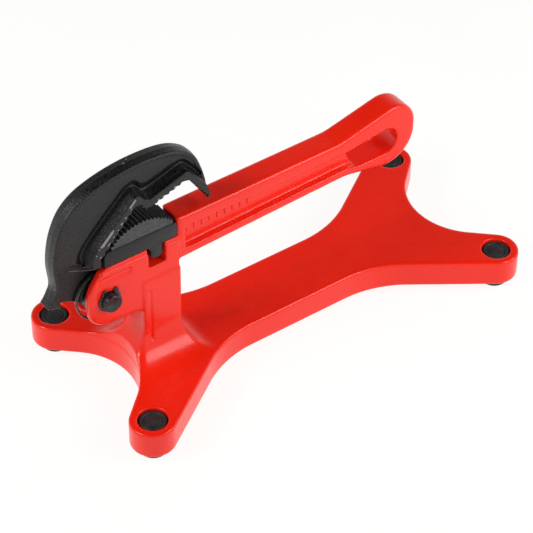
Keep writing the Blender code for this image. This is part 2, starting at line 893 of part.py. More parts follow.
def rubber_foot(name, x, y, mat):
    """A push-in foot: a plug that stands out below the plate, its ringed top sunk in the hole."""
    r = FOOT_PLUG_R
    profile = [
        (0.0, FLOOR),
        (FOOT_R - 1.4, FLOOR),
        (FOOT_R - 0.4, FLOOR + 0.4),
        (FOOT_R, FLOOR + 1.4),
        (FOOT_R, 17.0),
        (r, 19.0),
        (r, FOOT_TOP - 1.4),
        (r - 1.2, FOOT_TOP - 0.2),
        (r - 3.2, FOOT_TOP),
        (r - 4.0, FOOT_TOP - 0.9),
        (r - 4.8, FOOT_TOP - 0.1),
        (r - 9.0, FOOT_TOP + 0.6),
        (0.0, FOOT_TOP + 0.8),
    ]
    return turned(name, profile, (x, y, 0.0), "z", 30, mat)


def build():
    clear_scene()
    red = material("red_enamel", (0.62, 0.022, 0.013), 0.28, 0.0)
    forged = material("black_forged_steel", (0.035, 0.037, 0.038), 0.45, 0.85)
    toothed = material("black_hardened_steel", (0.05, 0.052, 0.053), 0.42, 0.85)
    bright = material("blackened_pin_steel", (0.07, 0.073, 0.075), 0.35, 0.9)
    spring = material("spring_steel", (0.06, 0.062, 0.065), 0.3, 0.9)
    rubber = material("black_rubber", (0.02, 0.02, 0.02), 0.6, 0.0)
    frame_casting(red)
    hook_jaw(forged)
    heel_jaw(toothed)
    heel_jaw_pin(bright)
    pivot_pin(bright)
    circlip("circlip_near", -1, spring)
    circlip("circlip_far", 1, spring)
    torsion_spring(spring)
    for (x, y), name in zip(foot_places(), ("jaw_near", "jaw_far", "handle_near", "handle_far")):
        rubber_foot(f"foot_{name}", x, y, rubber)


build()
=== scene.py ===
"""Looks of the one-hand pipe wrench that is cast in one piece with its four-footed stand.

Shapes are drawn in the CAD's design millimetres: x from the jaw end to the eye of the handle, y to
the far side, z up. at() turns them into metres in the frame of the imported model.
"""

import json
import math

import bmesh
import bpy
from mathutils import Matrix, Vector

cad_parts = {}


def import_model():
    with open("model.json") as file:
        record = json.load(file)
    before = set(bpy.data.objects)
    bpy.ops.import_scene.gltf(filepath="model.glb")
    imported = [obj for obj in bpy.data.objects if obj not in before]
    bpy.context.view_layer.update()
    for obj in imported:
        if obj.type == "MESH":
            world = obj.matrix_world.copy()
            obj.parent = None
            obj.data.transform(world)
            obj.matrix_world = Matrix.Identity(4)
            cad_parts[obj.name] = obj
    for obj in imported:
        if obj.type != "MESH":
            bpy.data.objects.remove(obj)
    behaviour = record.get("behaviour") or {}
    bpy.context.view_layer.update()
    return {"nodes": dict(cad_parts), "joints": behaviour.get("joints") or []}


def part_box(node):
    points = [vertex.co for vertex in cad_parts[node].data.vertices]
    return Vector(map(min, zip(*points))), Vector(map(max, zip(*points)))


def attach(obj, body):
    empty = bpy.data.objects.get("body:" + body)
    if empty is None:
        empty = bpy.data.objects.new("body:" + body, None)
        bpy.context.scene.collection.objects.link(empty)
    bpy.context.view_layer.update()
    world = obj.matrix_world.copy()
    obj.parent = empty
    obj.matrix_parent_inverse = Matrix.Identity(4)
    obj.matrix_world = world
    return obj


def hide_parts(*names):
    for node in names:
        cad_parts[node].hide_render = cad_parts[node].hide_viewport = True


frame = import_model()

MM = 0.001
PIVOT_X = -211.5
PIVOT_Z = 127.8
HINGE = Vector(frame["joints"][0]["pos_m"])
ORIGIN_X = HINGE.x - PIVOT_X * MM
ORIGIN_Z = HINGE.z - PIVOT_Z * MM
FLOOR = -ORIGIN_Z / MM

# Stand.
FOOT_X = 214.0
FOOT_Y = 90.0
PLATE_TOP = 30.0
PLATE_BOTTOM = -0.5
PLATE_EDGE = 2.6
ARM_R = 23.5
WAIST_HALF = 37.0
WAIST_FLAT = 58.0
WAIST_R = 118.0
END_X = 184.5
END_R = 71.0
FOOT_HOLE_R = 15.0
FOOT_PLUG_R = 13.6

# Column and head.
COLUMN_LEFT = -174.0
COLUMN_RIGHT = -129.8
COLUMN_HALF = 17.2
COLUMN_TOP = 129.5
ROOT_LEFT = 43.0
ROOT_RIGHT = 24.0
ROOT_SIDE = 36.0
ROOT_TRIM = 0.6
HEAD_HALF = 16.0
HEAD_LEFT = -233.8
HEAD_RIGHT = -130.0
HEAD_BOTTOM_LEFT = 98.5
HEAD_BOTTOM_RIGHT = 95.5
HEAD_TOP = 166.0
HEAD_STEP = 161.0
LEFT_OF_HEAD = -250.0
RECESS_BOTTOM = 149.0
RECESS_TOP = 157.0
GROOVE_LEFT = -167.0
GROOVE_RIGHT = -164.8
LEDGE_DEPTH = 1.6
CHEEK_GAP_HALF = 7.5
CHEEK_GAP_BOTTOM = 62.0
CHEEK_GAP_END = -177.0
SLOT_LEFT = -166.0
SLOT_RIGHT = -146.0
SLOT_BOTTOM = 144.0

# Handle.
HANDLE_HALF = 14.4
HANDLE_WEB_HALF = 6.4
HANDLE_EDGE = 4.0
HANDLE_LEFT = -131.3
RIB_COUNT = 9
RIB_FIRST = -117.0
RIB_PITCH = 9.0
RIB_WIDTH = 1.8
RIB_BOTTOM = 160.0
RIB_TOP = 169.0
RIB_RISE = 0.8
EYE_R = 35.0
EYE_TOP_R = 28.0
EYE_RIGHT = 157.0

# Pivot pin and circlips.
PIN_R = 9.8
PIN_HALF = 24.2
GROOVE_R = 9.0
GROOVE_IN = 16.1
GROOVE_OUT = 18.2
CLIP_THICK = 1.5
CLIP_LUG_AT = 13.0
CLIP_TURN = 84.0
CLIP_OPEN_HALF = 26.0
CLIP_OUTER_R = 12.3
CLIP_INNER_R = 9.3
CLIP_LUG_R = 2.7
CLIP_HOLE_R = 1.1

# Hook jaw.
WEB_HALF = 8.8
FLANGE_HALF = 15.0
WEB_PANEL = 7.7
SHELF_RISE = 5.7
CREASE_HALF = 2.6
SCOOP_FULL_REACH = 13.0
HUB_R = 21.5
HUB_HALF = 7.2
SPRING_FLOOR = -0.7
LEG_FLOOR = -1.5

# Heel jaw.
HEEL_HALF = 13.5
HEEL_TIP_CENTRE = (-169.6, 156.2)
HEEL_TIP_R = 47.6
HEEL_TEETH = 19
HEEL_FLOOR = HEAD_TOP + 0.3
HEEL_SEAM = 184.2
HEEL_SEAM_BLEND = 0.2
HEEL_TOOTH_DEPTH = 2.7
HEEL_FIRST_ANGLE = 145.8
HEEL_LAST_ANGLE = 41.8

# Torsion spring.
WIRE_R = 0.9
COIL_R = 29.4
COIL_PITCH = 1.95
COIL_TURNS = 2.17
COIL_NEAR_Y = -6.25
LEG_TIP = (-249.6, 176.8)
LEG_END = (-182.2, 116.0)

# Tooth flats of the hook jaw, and the surface grids of the remeshed casting and forging.
TOOTH_ROUNDING = 0.16
CASTING_VOXEL = 1.05
JAW_VOXEL = 0.6
FLATNESS = 0.01

# Camera: angles in degrees, distance in metres, and the point it looks at in design millimetres.
CAMERA_AZIMUTH = -36.05
CAMERA_ELEVATION = 42.15
CAMERA_ROLL = 0.68
CAMERA_LENS = 152.6
CAMERA_DISTANCE = 2.32788
CAMERA_AIM = (1.72, 24.12, PLATE_TOP)

# Studio: where the lamps point, how far off they stand, and the world's two greys.
LIGHT_TARGET = Vector((0.0, 0.0, 0.1))
LIGHT_DISTANCE = 1.7
HORIZON = (0.92, 0.92, 0.91, 1.0)
OVERHEAD = (0.05, 0.05, 0.052, 1.0)
FLOOR_GLOW = 0.90


def at(x, y, z):
    return Vector((ORIGIN_X + x * MM, y * MM, ORIGIN_Z + z * MM))


# ---------------------------------------------------------------- node materials


class Nodes:
    """A short way to write a node material around one Principled shader."""

    def __init__(self, name):
        self.mat = bpy.data.materials.new(name)
        self.mat.use_nodes = True
        self.tree = self.mat.node_tree
        self.shader = self.tree.nodes["Principled BSDF"]

    def node(self, kind, **values):
        made = self.tree.nodes.new(kind)
        for key, value in values.items():
            if hasattr(made, key):
                setattr(made, key, value)
            else:
                made.inputs[key.replace("_", " ")].default_value = value
        return made

    def link(self, source, target):
        self.tree.links.new(source, target)

    def place(self, scale=(1.0, 1.0, 1.0)):
        """Object coordinates, scaled."""
        coordinates = self.node("ShaderNodeTexCoord")
        mapping = self.node("ShaderNodeMapping")
        mapping.inputs["Scale"].default_value = scale
        self.link(coordinates.outputs["Object"], mapping.inputs["Vector"])
        return mapping.outputs["Vector"]

    def noise(self, vector, per_metre, detail=2.0, rough=0.5):
        made = self.node("ShaderNodeTexNoise", Scale=per_metre, Detail=detail, Roughness=rough)
        self.link(vector, made.inputs["Vector"])
        return made.outputs["Fac"]

    def spread(self, value, low, high, from_low=0.3, from_high=0.7):
        """The value, stretched from one range to another."""
        made = self.node("ShaderNodeMapRange")
        ranges = (from_low, from_high, low, high)
        for slot, number in zip(("From Min", "From Max", "To Min", "To Max"), ranges):
            made.inputs[slot].default_value = number
        self.link(value, made.inputs["Value"])
        return made.outputs["Result"]

    def ramp(self, value, stops):
        made = self.node("ShaderNodeValToRGB")
        elements = made.color_ramp.elements
        while len(elements) < len(stops):
            elements.new(0.5)
        for element, (position, colour) in zip(elements, stops):
            element.position = position
            element.color = (*colour, 1.0)
        self.link(value, made.inputs["Fac"])
        return made.outputs["Color"]

    def add(self, first, second, operation="ADD"):
        made = self.node("ShaderNodeMath", operation=operation)
        for slot, value in zip(made.inputs, (first, second)):
            if isinstance(value, (int, float)):
                slot.default_value = value
            else:
                self.link(value, slot)
        return made.outputs["Value"]

    def blend(self, share, first, second):
        """First where the share is 0, second, a colour or a link, where it is 1."""
        made = self.node("ShaderNodeMix", data_type="RGBA")
        self.link(share, made.inputs[0])
        self.link(first, made.inputs[6])
        if isinstance(second, tuple):
            made.inputs[7].default_value = second
        else:
            self.link(second, made.inputs[7])
        return made.outputs[2]

    def painted_edge_highlight_mask(self, low, high):
        """1 along convex edges and 0 elsewhere: the mask of a painted edge highlight."""
        made = self.node("ShaderNodeNewGeometry")
        return self.spread(made.outputs["Pointiness"], 0.0, 1.0, low, high)

    def bump(self, height, depth, before=None):
        """A bump whose depth is in millimetres."""
        made = self.node("ShaderNodeBump", Strength=1.0, Distance=depth * MM)
        self.link(height, made.inputs["Height"])
        if before:
            self.link(before, made.inputs["Normal"])
        return made.outputs["Normal"]

    def finish(self, colour=None, rough=None, normal=None, **plain):
        for slot, source in (("Base Color", colour), ("Roughness", rough), ("Normal", normal)):
            if source is not None:
                self.link(source, self.shader.inputs[slot])
        for key, value in plain.items():
            self.shader.inputs[key.replace("_", " ")].default_value = value
        return self.mat


def red_enamel():
    """Thick glossy enamel over a sand-blasted casting: slow waves, fine orange peel."""
    m = Nodes("red_enamel")
    where = m.place()
    tone = m.noise(where, 14.0, 3.0)
    colour = m.ramp(tone, [(0.3, (0.80, 0.012, 0.002)), (0.7, (0.86, 0.016, 0.003))])
    rough = m.spread(m.noise(where, 60.0, 4.0), 0.22, 0.30)
    waves = m.bump(m.noise(where, 45.0, 1.0), 0.10)
    peel = m.bump(m.noise(where, 700.0, 2.0), 0.012, before=waves)
    return m.finish(
        colour, rough, peel, Specular_IOR_Level=0.32, Coat_Weight=0.15, Coat_Roughness=0.08
    )


def forged_steel():
    """Black-finished forging: blasted grain, slow unevenness, and a painted highlight that colours
    the convex edges a lighter grey in place of the key light's glint on them.
    """
    m = Nodes("forged_black")
    where = m.place()
    grain = m.noise(where, 750.0, 4.0, 0.7)
    patches = m.noise(where, 40.0, 4.0)
    # Painted highlight: convex edges are blended to a lighter grey to stand in for the key light
    # glinting along them.
    edges = m.painted_edge_highlight_mask(0.54, 0.60)
    colour = m.ramp(grain, [(0.45, (0.0006, 0.0006, 0.0007)), (0.75, (0.022, 0.0225, 0.023))])
    colour_with_painted_highlight = m.blend(edges, colour, (0.22, 0.22, 0.22, 1.0))
    rough = m.add(m.spread(patches, 0.24, 0.34), m.spread(grain, -0.08, 0.10))
    uneven = m.bump(m.noise(where, 90.0, 3.0), 0.16)
    pits = m.bump(grain, 0.42, before=uneven)
    return m.finish(colour_with_painted_highlight, rough, pits, Specular_IOR_Level=0.36)


def hardened_steel():
    """Machined and blackened: bright scratched crown over a darker, evenly granular block."""
    m = Nodes("hardened_black")
    along = m.place((1.0, 1.0, 5.0))
    where = m.place()
    scratch = m.noise(along, 210.0, 5.0, 0.7)
    grain = m.noise(where, 900.0, 3.0)
    split = m.node("ShaderNodeSeparateXYZ")
    m.link(where, split.inputs["Vector"])
    seam = ORIGIN_Z + HEEL_SEAM * MM
    blend = HEEL_SEAM_BLEND * MM
    crown = m.spread(split.outputs["Z"], 0.0, 1.0, seam - blend, seam + blend)
    block_colour = m.ramp(grain, [(0.35, (0.002, 0.002, 0.0022)), (0.7, (0.012, 0.0125, 0.013))])
    crown_colour = m.ramp(scratch, [(0.35, (0.008, 0.008, 0.0085)), (0.7, (0.085, 0.086, 0.088))])
    colour = m.blend(crown, block_colour, crown_colour)
    rough = m.spread(scratch, 0.26, 0.42)
    marks = m.bump(scratch, 0.10)
    pits = m.bump(grain, 0.08, before=marks)
    return m.finish(colour, rough, pits, Specular_IOR_Level=0.36)


def turned_steel():
    """Blackened steel with fine rings about the pivot's axis."""
    m = Nodes("pin_black")
    coordinates = m.node("ShaderNodeTexCoord")
    shifted = m.node("ShaderNodeVectorMath", operation="SUBTRACT")
    shifted.inputs[1].default_value = at(PIVOT_X, 0, PIVOT_Z)
    m.link(coordinates.outputs["Object"], shifted.inputs[0])
    flat = m.node("ShaderNodeVectorMath", operation="MULTIPLY")
    flat.inputs[1].default_value = (1.0, 0.0, 1.0)
    m.link(shifted.outputs["Vector"], flat.inputs[0])
    radius = m.node("ShaderNodeVectorMath", operation="LENGTH")
    m.link(flat.outputs["Vector"], radius.inputs[0])
    rings = m.add(m.add(radius.outputs["Value"], 9000.0, "MULTIPLY"), 0.0, "SINE")
    where = m.place()
    wear = m.noise(where, 300.0, 4.0)
    colour = m.ramp(wear, [(0.3, (0.020, 0.021, 0.023)), (0.75, (0.060, 0.062, 0.066))])
    rough = m.spread(wear, 0.26, 0.4)
    grooves = m.bump(rings, 0.012)
    return m.finish(colour, rough, grooves, Metallic=0.75)


def spring_steel():
    m = Nodes("spring_steel")
    where = m.place()
    streaks = m.noise(where, 420.0, 4.0, 0.6)
    colour = m.ramp(streaks, [(0.3, (0.035, 0.036, 0.038)), (0.75, (0.12, 0.122, 0.126))])
    rough = m.spread(streaks, 0.2, 0.34)
    return m.finish(colour, rough, m.bump(streaks, 0.02), Metallic=0.85)


def black_rubber():
    """Moulded rubber: matt, faintly dusty, with a fine spark-eroded grain."""
    m = Nodes("black_rubber")
    where = m.place()
    dust = m.noise(where, 120.0, 5.0)
    grain = m.noise(where, 2200.0, 2.0)
    colour = m.ramp(dust, [(0.35, (0.0075, 0.0075, 0.008)), (0.75, (0.020, 0.020, 0.021))])
    rough = m.spread(dust, 0.46, 0.66)
    return m.finish(colour, rough, m.bump(grain, 0.03), Specular_IOR_Level=0.45)


# ---------------------------------------------------------------- outlines


def arc(cx, cy, r, start, end, steps):
    """Points on a circle from start to end, in degrees, both ends included."""
    angles = [math.radians(start + (end - start) * i / steps) for i in range(steps + 1)]
    return [(cx + r * math.cos(a), cy + r * math.sin(a)) for a in angles]


def rounded(corners, step=5.0):
    """A closed outline from corners (x, y, radius), with each corner as an arc."""
    outline = []
    count = len(corners)
    for i, (x, y, r) in enumerate(corners):
        here = Vector((x, y))
        if r <= 0:
            outline.append((x, y))
            continue
        before = Vector(corners[i - 1][:2]) - here
        after = Vector(corners[(i + 1) % count][:2]) - here
        half = before.angle(after) / 2.0
        middle = here + (before.normalized() + after.normalized()).normalized() * r / math.sin(half)
        first = here + before.normalized() * r / math.tan(half)
        last = here + after.normalized() * r / math.tan(half)
        a0 = math.atan2(first.y - middle.y, first.x - middle.x)
        a1 = math.atan2(last.y - middle.y, last.x - middle.x)
        turn = (a1 - a0 + math.pi) % (2 * math.pi) - math.pi
        steps = max(1, round(abs(math.degrees(turn)) / step))
        outline += arc(middle.x, middle.y, r, math.degrees(a0), math.degrees(a0 + turn), steps)
    return outline


def smooth(points, cuts):
    """A Catmull-Rom curve through the points, with cuts segments between neighbours."""
    line = [Vector(p) for p in points]
    line = [2 * line[0] - line[1]] + line + [2 * line[-1] - line[-2]]
    curve = []
    for a, b, c, d in zip(line, line[1:], line[2:], line[3:]):
        for k in range(cuts):
            t = k / cuts
            linear = 2 * b + (c - a) * t
            square = (2 * a - 5 * b + 4 * c - d) * t * t
            cube = (3 * b - a - 3 * c + d) * t**3
            curve.append(tuple(0.5 * (linear + square + cube)))
    return curve + [tuple(line[-2])]


def cross_tangent(c1, r1, c2, r2, side):
    """Angles, in degrees, at which an inner tangent touches the first and the second circle."""
    d = Vector(c2) - Vector(c1)
    swing = math.acos((r1 + r2) / d.length)
    angle = math.degrees(math.atan2(d.y, d.x) + side * swing)
    return angle, angle + 180.0


def teeth(start, end, count, depth, lean):
    """Saw teeth from start to end, with valleys to the left, their tips and valleys flattened."""
    at_valley = TOOTH_ROUNDING * 0.6
    a = Vector(start)
    along = Vector(end) - a
    left = Vector((-along.y, along.x)).normalized() * depth
    points = []
    for i in range(count):
        tip = a + along * i / count
        valley = a + along * (i + lean) / count + left
        following = a + along * (i + 1) / count
        points.append(tuple(tip + (valley - tip) * TOOTH_ROUNDING))
        points.append(tuple(valley + (tip - valley) * at_valley))
        points.append(tuple(valley + (following - valley) * at_valley))
        points.append(tuple(following + (valley - following) * TOOTH_ROUNDING))
    return points


def inset_outline(outline, distances):
    """Each point of a closed outline moved inwards by its own distance."""
    count = len(outline)
    turn = sum(
        a[0] * b[1] - a[1] * b[0] for a, b in zip(outline, outline[1:] + outline[:1])
    )
    side = 1.0 if turn > 0 else -1.0
    moved = []
    for i, (x, y) in enumerate(outline):
        before = (Vector((x, y)) - Vector(outline[i - 1])).normalized()
        after = (Vector(outline[(i + 1) % count]) - Vector((x, y))).normalized()
        along = (before + after).normalized()
        moved.append((x - side * along.y * distances[i], y + side * along.x * distances[i]))
    return moved


# ---------------------------------------------------------------- solids


def new_object(name, mesh_builder, mat=None):
    bm = bmesh.new()
    mesh_builder(bm)
    bmesh.ops.remove_doubles(bm, verts=bm.verts, dist=1e-6)
    bmesh.ops.recalc_face_normals(bm, faces=bm.faces)
    mesh = bpy.data.meshes.new(name)
    bm.to_mesh(mesh)
    bm.free()
    obj = bpy.data.objects.new(name, mesh)
    bpy.context.scene.collection.objects.link(obj)
    if mat:
        mesh.materials.append(mat)
    return obj


def prism(name, outline, low, high, plane="xz", edge=0.0, segments=3, mat=None):
    """An outline drawn in the xz or xy plane, extruded from low to high, its rims rounded."""

    def point(u, v, w):
        return at(u, w, v) if plane == "xz" else at(u, v, w)

    def build(bm):
        face = bm.faces.new([bm.verts.new(point(u, v, low)) for u, v in outline])
        made = bmesh.ops.extrude_face_region(bm, geom=[face])["geom"]
        shift = point(0, 0, high) - point(0, 0, low)
        top = [v for v in made if isinstance(v, bmesh.types.BMVert)]
        bmesh.ops.translate(bm, verts=top, vec=shift)
        bmesh.ops.recalc_face_normals(bm, faces=bm.faces)
        caps = [face] + [f for f in made if isinstance(f, bmesh.types.BMFace)]
        if edge:
            bmesh.ops.bevel(
                bm,
                geom=[e for cap in caps for e in cap.edges],
                offset=edge * MM,
                segments=segments,
                profile=0.5,
                affect="EDGES",
                clamp_overlap=False,
            )

    return new_object(name, build, mat)


def loft(name, loops):
    """A closed body through loops of equally many points, capped at both ends."""

    def build(bm):
        rings = [[bm.verts.new(at(*p)) for p in loop] for loop in loops]
        size = len(rings[0])
        for a, b in zip(rings, rings[1:]):
            for i in range(size):
                j = (i + 1) % size
                bm.faces.new((a[i], a[j], b[j], b[i]))
        bm.faces.new(rings[0])
        bm.faces.new(rings[-1])

    return new_object(name, build)


def turned(name, profile, centre, axis, steps, mat=None):
    """A profile of (radius, height) spun about the y or z axis through centre."""
    spin_axis = {"y": Vector((0, 1, 0)), "z": Vector((0, 0, 1))}[axis]
    out = Vector((1, 0, 0))
    middle = at(*centre)

    def build(bm):
        verts = [bm.verts.new(middle + out * (r * MM) + spin_axis * (h * MM)) for r, h in profile]
        edges = [bm.edges.new((a, b)) for a, b in zip(verts, verts[1:])]
        bmesh.ops.spin(
            bm,
            geom=verts + edges,
            cent=middle,
            axis=spin_axis,
            angle=2 * math.pi,
            steps=steps,
            use_merge=True,
            use_duplicate=False,
        )

    obj = new_object(name, build, mat)
    obj.data.shade_smooth()
    obj.data.set_sharp_from_angle(angle=math.radians(40))
    return obj


def box(name, x0, x1, y0, y1, z0, z1):
    return prism(name, [(x0, z0), (x1, z0), (x1, z1), (x0, z1)], y0, y1)


def combine(target, tools, operation):
    """Applies a Boolean with each tool in turn, and removes the tools."""
    for tool in tools:
        mod = target.modifiers.new(tool.name, "BOOLEAN")
        mod.operation = operation
        mod.solver = "EXACT"
        mod.object = tool
        apply_modifiers(target)
        bpy.data.objects.remove(tool, do_unlink=True)
    return target


def apply_modifiers(obj):
    bpy.context.view_layer.update()
    graph = bpy.context.evaluated_depsgraph_get()
    mesh = bpy.data.meshes.new_from_object(obj.evaluated_get(graph))
    obj.modifiers.clear()
    obj.data = mesh


def soften(obj, voxel, rounds, mat):
    """Turns a sharp body into one even skin whose edges and inner corners are rounded."""
    remesh = obj.modifiers.new("remesh", "REMESH")
    remesh.mode = "VOXEL"
    remesh.voxel_size = voxel * MM
    relax = obj.modifiers.new("relax", "SMOOTH")
    relax.factor = 0.5
    relax.iterations = rounds
    thin = obj.modifiers.new("thin", "REMESH")
    thin.mode = "VOXEL"
    thin.voxel_size = voxel * MM
    thin.adaptivity = FLATNESS * MM
    apply_modifiers(obj)
    obj.data.materials.clear()
    obj.data.materials.append(mat)
    obj.data.shade_smooth()


# ---------------------------------------------------------------- casting


def plate_outline(inset=0.0):
    """One quarter of the X-shaped plate, drawn inset from its edge, mirrored into four."""
    waist = (WAIST_FLAT, WAIST_HALF + WAIST_R)
    foot = (FOOT_X, FOOT_Y)
    end = (END_X + END_R, 0.0)
    waist_r = WAIST_R + inset
    arm_r = ARM_R - inset
    end_r = END_R + inset
    waist_angle, arm_start = cross_tangent(waist, waist_r, foot, arm_r, -1)
    end_angle, arm_end = cross_tangent(end, end_r, foot, arm_r, 1)
    quarter = arc(*waist, waist_r, -90.0, waist_angle, 24)
    arm_end -= 360.0 * round((arm_end - arm_start + 180.0) / 360.0)
    quarter += arc(*foot, arm_r, arm_start, arm_end, 36)
    quarter += arc(*end, end_r, end_angle, 180.0, 20)
    lower = [(x, -y) for x, y in reversed(quarter[:-1])]
    right = quarter + lower
    left = [(-x, y) for x, y in reversed(right)]
    return right + left


def fillet_reach(radius, rise):
    """How far a fillet of this radius stands out from its wall at a height above the plate."""
    short = max(0.0, radius - rise)
    return radius - math.sqrt(radius * radius - short * short)


def column_body():
    """The column and the flare at its foot, cut off where the flare meets the plate's edge."""

    def ring(rise, inset, z):
        out_left = fillet_reach(ROOT_LEFT, rise)
        out_right = fillet_reach(ROOT_RIGHT, rise)
        out_side = fillet_reach(ROOT_SIDE, rise)
        left = COLUMN_LEFT - out_left + inset
        right = COLUMN_RIGHT + out_right - inset
        half = COLUMN_HALF + out_side - inset
        left_r = 2.0 + 0.3 * (out_left + out_side)
        right_r = 2.0 + 0.12 * (out_right + out_side)
        corners = [
            (left, -half, left_r),
            (right, -half, right_r),
            (right, half, right_r),
            (left, half, left_r),
        ]
        return [(x, y, z) for x, y in rounded(corners, step=9.0)]

    loops = [ring(ROOT_LEFT, 0.8, COLUMN_TOP), ring(ROOT_LEFT, 0.0, COLUMN_TOP - 0.8)]
    steps = 30
    for i in range(steps + 1):
        rise = ROOT_LEFT * (1.0 - math.sin(math.radians(88.5 * i / steps)))
        loops.append(ring(rise, 0.0, PLATE_TOP + rise))
    loops.append([(x, y, PLATE_TOP - 6.0) for x, y, _ in loops[-1]])
    body = loft("column_body", loops)
    limit = prism(
        "column_limit", plate_outline(ROOT_TRIM), PLATE_TOP - 10.0, COLUMN_TOP + 10.0, plane="xy"
    )
    return combine(body, [limit], "INTERSECT")


def head_outline():
    return rounded(
        [
            (HEAD_LEFT, HEAD_BOTTOM_LEFT, 20.0),
            (COLUMN_LEFT + 0.6, HEAD_BOTTOM_RIGHT, 11.0),
            (COLUMN_LEFT + 0.6, 60.0, 0.0),
            (HEAD_RIGHT, 60.0, 0.0),
            (HEAD_RIGHT, HEAD_TOP, 0.0),
            (-217.0, HEAD_TOP, 14.0),
            (HEAD_LEFT, 142.0, 40.0),
        ]
    )


def pocket_outline(grow):
    """The I section's side pocket, which runs on into the eye."""
    return rounded(
        [
            (-122.0 - grow, 146.0 - grow, 4.0),
            (72.0, 153.3 - grow, 12.0),
            (84.0, 149.7 - grow, 12.0),
            (134.5 + grow, 149.7 - grow, 15.5 + grow),
            (134.5 + grow, 183.3 + grow, 15.5 + grow),
            (72.0, 173.8 + grow, 30.0),
            (-122.0 - grow, 173.8 + grow, 4.0),
        ]
    )


def clip_right(outline, a, b):
    """The part of an outline left of the slanting line from a (top) to b (bottom)."""

    def side(p):
        return (b[0] - a[0]) * (p[1] - a[1]) - (b[1] - a[1]) * (p[0] - a[0])

    kept = []
    for p, q in zip(outline, outline[1:] + outline[:1]):
        if side(p) <= 0:
            kept.append(p)
        if (side(p) <= 0) != (side(q) <= 0):
            t = side(p) / (side(p) - side(q))
            kept.append((p[0] + (q[0] - p[0]) * t, p[1] + (q[1] - p[1]) * t))
    return kept


def handle_outline():
    return rounded(
        [
            (HEAD_RIGHT - 8.0, 134.9, 0.0),
            (72.0, 143.2, 70.0),
            (EYE_RIGHT, 125.4, EYE_R),
            (EYE_RIGHT, 212.5, EYE_TOP_R),
            (62.0, 188.8, 60.0),
            (HANDLE_LEFT, 187.4, 0.0),
            (HANDLE_LEFT, 164.0, 0.0),
            (HEAD_RIGHT - 8.0, 164.0, 0.0),
        ],
        step=4.0,
    )


def handle_body():
    handle = prism("handle", handle_outline(), -HANDLE_HALF, HANDLE_HALF, edge=HANDLE_EDGE)
    pocket = prism("pocket", pocket_outline(0.0), -20.0, 20.0)
    combine(handle, [pocket], "DIFFERENCE")
    web = clip_right(pocket_outline(3.0), (70.3, 180.0), (83.6, 146.0))
    combine(handle, [prism("web", web, -HANDLE_WEB_HALF, HANDLE_WEB_HALF)], "UNION")
    return handle


def head_cuts():
    """Cheek gap, tongue slot, pivot bore, and the shallow ledges and recesses of the mould."""
    top = HEAD_TOP + 9.0
    slot = rounded(
        [
            (SLOT_LEFT, SLOT_BOTTOM, 1.5),
            (SLOT_RIGHT, SLOT_BOTTOM, 1.5),
            (SLOT_RIGHT, top, 0.0),
            (SLOT_LEFT, top, 0.0),
        ]
    )
    cuts = [
        box(
            "gap",
            LEFT_OF_HEAD,
            CHEEK_GAP_END,
            -CHEEK_GAP_HALF,
            CHEEK_GAP_HALF,
            CHEEK_GAP_BOTTOM,
            top,
        ),
        prism("slot", slot, -30.0, 30.0),
        turned(
            "bore",
            [(0, -30), (PIN_R + 0.1, -30), (PIN_R + 0.1, 30), (0, 30)],
            (PIVOT_X, 0, PIVOT_Z),
            "y",
            72,
        ),
    ]
    for sign in (-1.0, 1.0):
        right = HEAD_RIGHT + 0.5
        ledge = [(LEFT_OF_HEAD, HEAD_STEP), (right, HEAD_STEP), (right, top), (LEFT_OF_HEAD, top)]
        recess = [
            (-225.0, RECESS_BOTTOM),
            (-185.0, RECESS_BOTTOM),
            (-185.0, RECESS_TOP),
            (-222.0, RECESS_TOP),
        ]
        far = sign * (HEAD_HALF + 5.0)
        floor_y = sign * (HEAD_HALF - LEDGE_DEPTH)
        cuts.append(prism("ledge", ledge, floor_y, far))
        cuts.append(prism("recess", recess, floor_y, far))
        groove = [
            (GROOVE_LEFT, 116.0),
            (GROOVE_RIGHT, 116.0),
            (GROOVE_RIGHT, 50.0),
            (GROOVE_LEFT, 53.0),
        ]
        cuts.append(prism("groove", groove, sign * (COLUMN_HALF - LEDGE_DEPTH), sign * 30.0))
    return cuts


def foot_places():
    return [(sx * FOOT_X, sy * FOOT_Y) for sx in (-1, 1) for sy in (-1, 1)]


def foot_holes():
    profile = [
        (0, PLATE_BOTTOM - 5.0),
        (FOOT_HOLE_R + 1.5, PLATE_BOTTOM - 5.0),
        (FOOT_HOLE_R + 1.5, PLATE_BOTTOM),
        (FOOT_HOLE_R, PLATE_BOTTOM + 1.5),
        (FOOT_HOLE_R, PLATE_TOP - 1.4),
        (FOOT_HOLE_R + 0.5, PLATE_TOP - 0.4),
        (FOOT_HOLE_R + 1.4, PLATE_TOP),
        (FOOT_HOLE_R + 1.4, PLATE_TOP + 5.0),
        (0, PLATE_TOP + 5.0),
    ]
    return [turned("hole", profile, (x, y, 0.0), "z", 72) for x, y in foot_places()]


def casting(mat):
    body = prism(
        "casting",
        plate_outline(),
        PLATE_BOTTOM,
        PLATE_TOP,
        plane="xy",
        edge=PLATE_EDGE,
        segments=4,
    )
    combine(body, foot_holes(), "DIFFERENCE")
    upper = prism("head", head_outline(), -HEAD_HALF, HEAD_HALF, edge=1.8, segments=1)
    combine(upper, [column_body(), handle_body()], "UNION")
    combine(upper, head_cuts(), "DIFFERENCE")
    combine(body, [upper], "UNION")
    soften(body, CASTING_VOXEL, 1, mat)
    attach(body, "stand")
    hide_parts("frame_casting")


